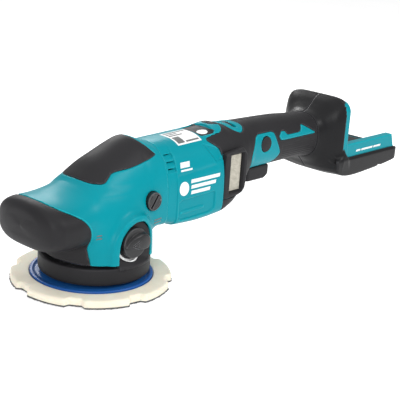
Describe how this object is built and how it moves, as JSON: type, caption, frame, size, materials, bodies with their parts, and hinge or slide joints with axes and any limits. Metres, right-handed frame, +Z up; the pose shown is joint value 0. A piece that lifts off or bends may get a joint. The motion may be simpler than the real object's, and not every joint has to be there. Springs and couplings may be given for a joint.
{
  "type": "dual action polisher",
  "caption": "Cordless dual action polisher: palm-grip head over a scalloped foam backing pad, in-line motor body, trigger handle and an open slide-on battery foot.",
  "frame": {"origin": "bottom centre of the whole tool's box, level with the pad's working face and on the tool's centre plane", "axes": "+X along the tool towards the battery foot, +Y to the side away from the mode knob, +Z up from the pad"},
  "size_m": [0.519, 0.146, 0.1365],
  "materials": {
    "teal_plastic": "fine-grained glass-filled nylon, satin",
    "elastomer": "soft-touch moulded elastomer, matt",
    "black_plastic": "moulded plastic, satin",
    "blue_hub": "moulded plastic, semi-gloss",
    "pad_foam": "moulded polyurethane foam, matt",
    "hook_fabric": "hook-and-loop pile",
    "steel": "machined",
    "cast_aluminium": "die cast, bead blasted",
    "copper": "enamelled winding",
    "circuit_board": "solder-masked board",
    "filter_mesh": "fine woven screen"
  },
  "bodies": {
    "root": {"gear_housing": "cast_aluminium", "bearing_box": "cast_aluminium", "spindle_bearing_lower": "steel", "spindle_bearing_upper": "steel", "motor_bearing_front": "steel", "motor_bearing_rear": "steel", "housing_screw_1": "steel", "housing_screw_2": "steel", "housing_screw_3": "steel", "housing_screw_4": "steel", "stator_core": "steel", "stator_winding": "copper", "sensor_board": "circuit_board", "front_grip": "elastomer", "crown_grip": "elastomer", "head_cover": "teal_plastic", "side_plug_left": "black_plastic", "side_plug_right": "black_plastic", "skirt": "elastomer", "motor_housing": "teal_plastic", "filter_frame_left": "black_plastic", "filter_mesh_left": "filter_mesh", "filter_frame_right": "black_plastic", "filter_mesh_right": "filter_mesh", "handle_grip_left": "elastomer", "handle_grip_right": "elastomer", "handle_shell_left": "teal_plastic", "handle_shell_right": "teal_plastic", "battery_guard_left": "elastomer", "battery_guard_right": "elastomer", "terminal_block": "black_plastic", "terminal_positive": "steel", "terminal_negative": "steel", "handle_screw_1": "steel", "handle_screw_2": "steel", "handle_screw_3": "steel", "controller": "black_plastic", "dial_encoder": "circuit_board", "switch_unit": "black_plastic"},
    "crank": {"crank_spindle": "steel", "eccentric_bearing": "steel", "counterweight": "steel", "bevel_gear": "steel"},
    "rotor": {"motor_shaft": "steel", "rotor_core": "steel", "cooling_fan": "black_plastic", "bevel_pinion": "steel"},
    "pad": {"output_spindle": "steel", "planet_gear": "steel", "pad_hub": "blue_hub", "pad_foam": "pad_foam", "hook_face": "hook_fabric", "pad_bolt": "steel"},
    "ring": {"ring_gear": "steel"},
    "knob": {"mode_knob": "black_plastic"},
    "pin": {"shift_pin": "steel"},
    "trigger": {"trigger": "black_plastic"},
    "lock": {"lock_button": "black_plastic"},
    "dial": {"speed_dial": "black_plastic"}
  },
  "joints": [
    {"name": "crank_spin", "type": "hinge", "parent": "root", "child": "crank", "pos_m": [-0.1735, 0, 0.05], "axis": [0, 0, 1], "continuous": true},
    {"name": "rotor_spin", "type": "hinge", "parent": "root", "child": "rotor", "pos_m": [-0.0835, 0, 0.084], "axis": [1, 0, 0], "continuous": true},
    {"name": "pad_spin", "type": "hinge", "parent": "crank", "child": "pad", "pos_m": [-0.17625, 0, 0.03], "axis": [0, 0, 1], "continuous": true},
    {"name": "ring_gear_spin", "type": "hinge", "parent": "crank", "child": "ring", "pos_m": [-0.1735, 0, 0.017], "axis": [0, 0, 1], "continuous": true},
    {"name": "mode_knob_turn", "type": "hinge", "parent": "root", "child": "knob", "pos_m": [-0.1727, -0.046, 0.048], "axis": [0, 1, 0], "range_deg": [0, 90]},
    {"name": "shift_pin_slide", "type": "slide", "parent": "root", "child": "pin", "axis": [0, 0, -1], "range_m": [0, 0.00566]},
    {"name": "trigger_pull", "type": "hinge", "parent": "root", "child": "trigger", "pos_m": [0.0165, 0, 0.08], "axis": [0, -1, 0], "range_deg": [0, 8], "stiffness_Nm_per_rad": 2, "springref_deg": -5.73},
    {"name": "lock_button_press", "type": "slide", "parent": "root", "child": "lock", "axis": [0, 1, 0], "range_m": [0, 0.003], "stiffness_N_per_m": 400, "springref_m": -0.001},
    {"name": "speed_dial_turn", "type": "hinge", "parent": "root", "child": "dial", "pos_m": [-0.0048, 0, 0.112], "axis": [1, 0, 0], "range_deg": [0, 240]}
  ],
  "couplings": [
    {"joint": "rotor_spin", "follows": "crank_spin", "ratio": 3.1818},
    {"joint": "ring_gear_spin", "follows": "pad_spin", "ratio": 0.89744},
    {"joint": "shift_pin_slide", "follows": "mode_knob_turn", "m_per_rad": 0.003603}
  ]
}
